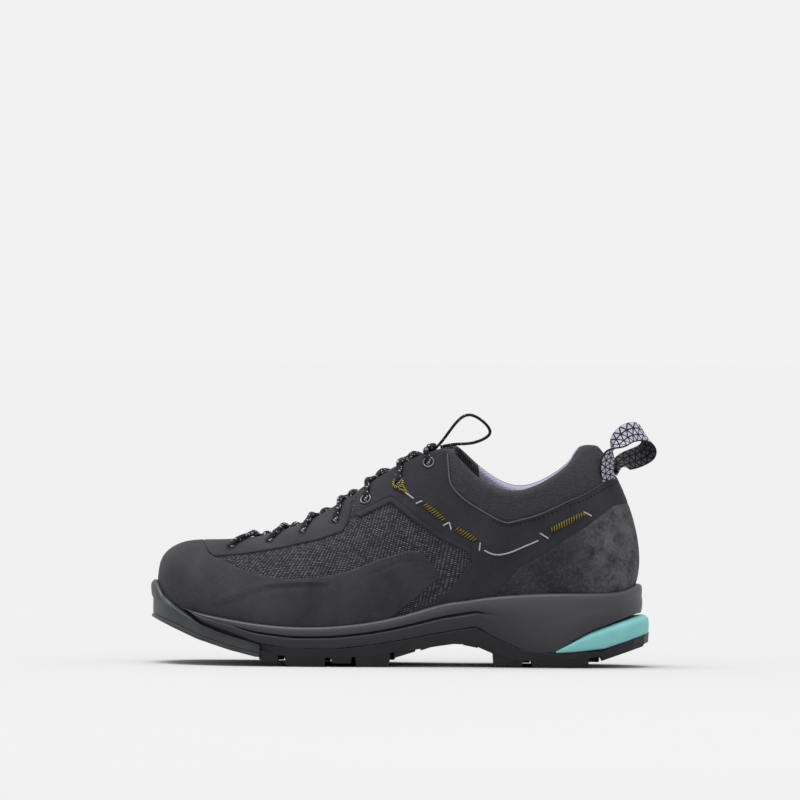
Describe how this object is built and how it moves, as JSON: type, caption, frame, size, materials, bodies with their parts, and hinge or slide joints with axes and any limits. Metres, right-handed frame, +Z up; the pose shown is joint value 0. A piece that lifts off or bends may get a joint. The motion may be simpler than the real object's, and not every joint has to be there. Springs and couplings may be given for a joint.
{
  "type": "approach shoe",
  "caption": "Left approach shoe: hollow padded upper with toe band, lace throat, tongue and insole, on a cushioned midsole and lugged rubber outsole.",
  "frame": {"origin": "on the ground at the middle of the flat spot under the heel", "axes": "-X to the toe, -Y to the lateral side, +Z up"},
  "size_m": [0.2842, 0.0999, 0.1413],
  "materials": {
    "mesh_fabric": "dark woven mesh and padded textile",
    "tough_suede": "matte dark suede",
    "nubuck": "smooth dark nubuck",
    "rough_suede": "scuffed dark suede",
    "midsole_foam": "black moulded foam",
    "rubber": "black rubber",
    "teal_foam": "teal moulded foam",
    "bumper_rubber": "grey green rubber",
    "lining": "lilac lining cloth",
    "lace_cord": "dark flecked lace cord",
    "eyelet_metal": "dark metal",
    "webbing": "patterned webbing"
  },
  "bodies": {
    "root": {"upper": "mesh_fabric", "foxing": "tough_suede", "eyestay": "tough_suede", "quarter": "nubuck", "heel_counter": "rough_suede", "midsole": "midsole_foam", "outsole": "rubber", "heel_insert": "teal_foam", "toe_bumper": "bumper_rubber", "insole": "lining", "tongue": "mesh_fabric", "laces": "lace_cord", "lace_knot": "lace_cord", "lace_loop": "lace_cord", "eyelet_lateral_5": "eyelet_metal", "eyelet_medial_5": "eyelet_metal", "eyelet_lateral_7": "eyelet_metal", "eyelet_medial_7": "eyelet_metal", "pull_loop": "webbing"}
  },
  "joints": []
}
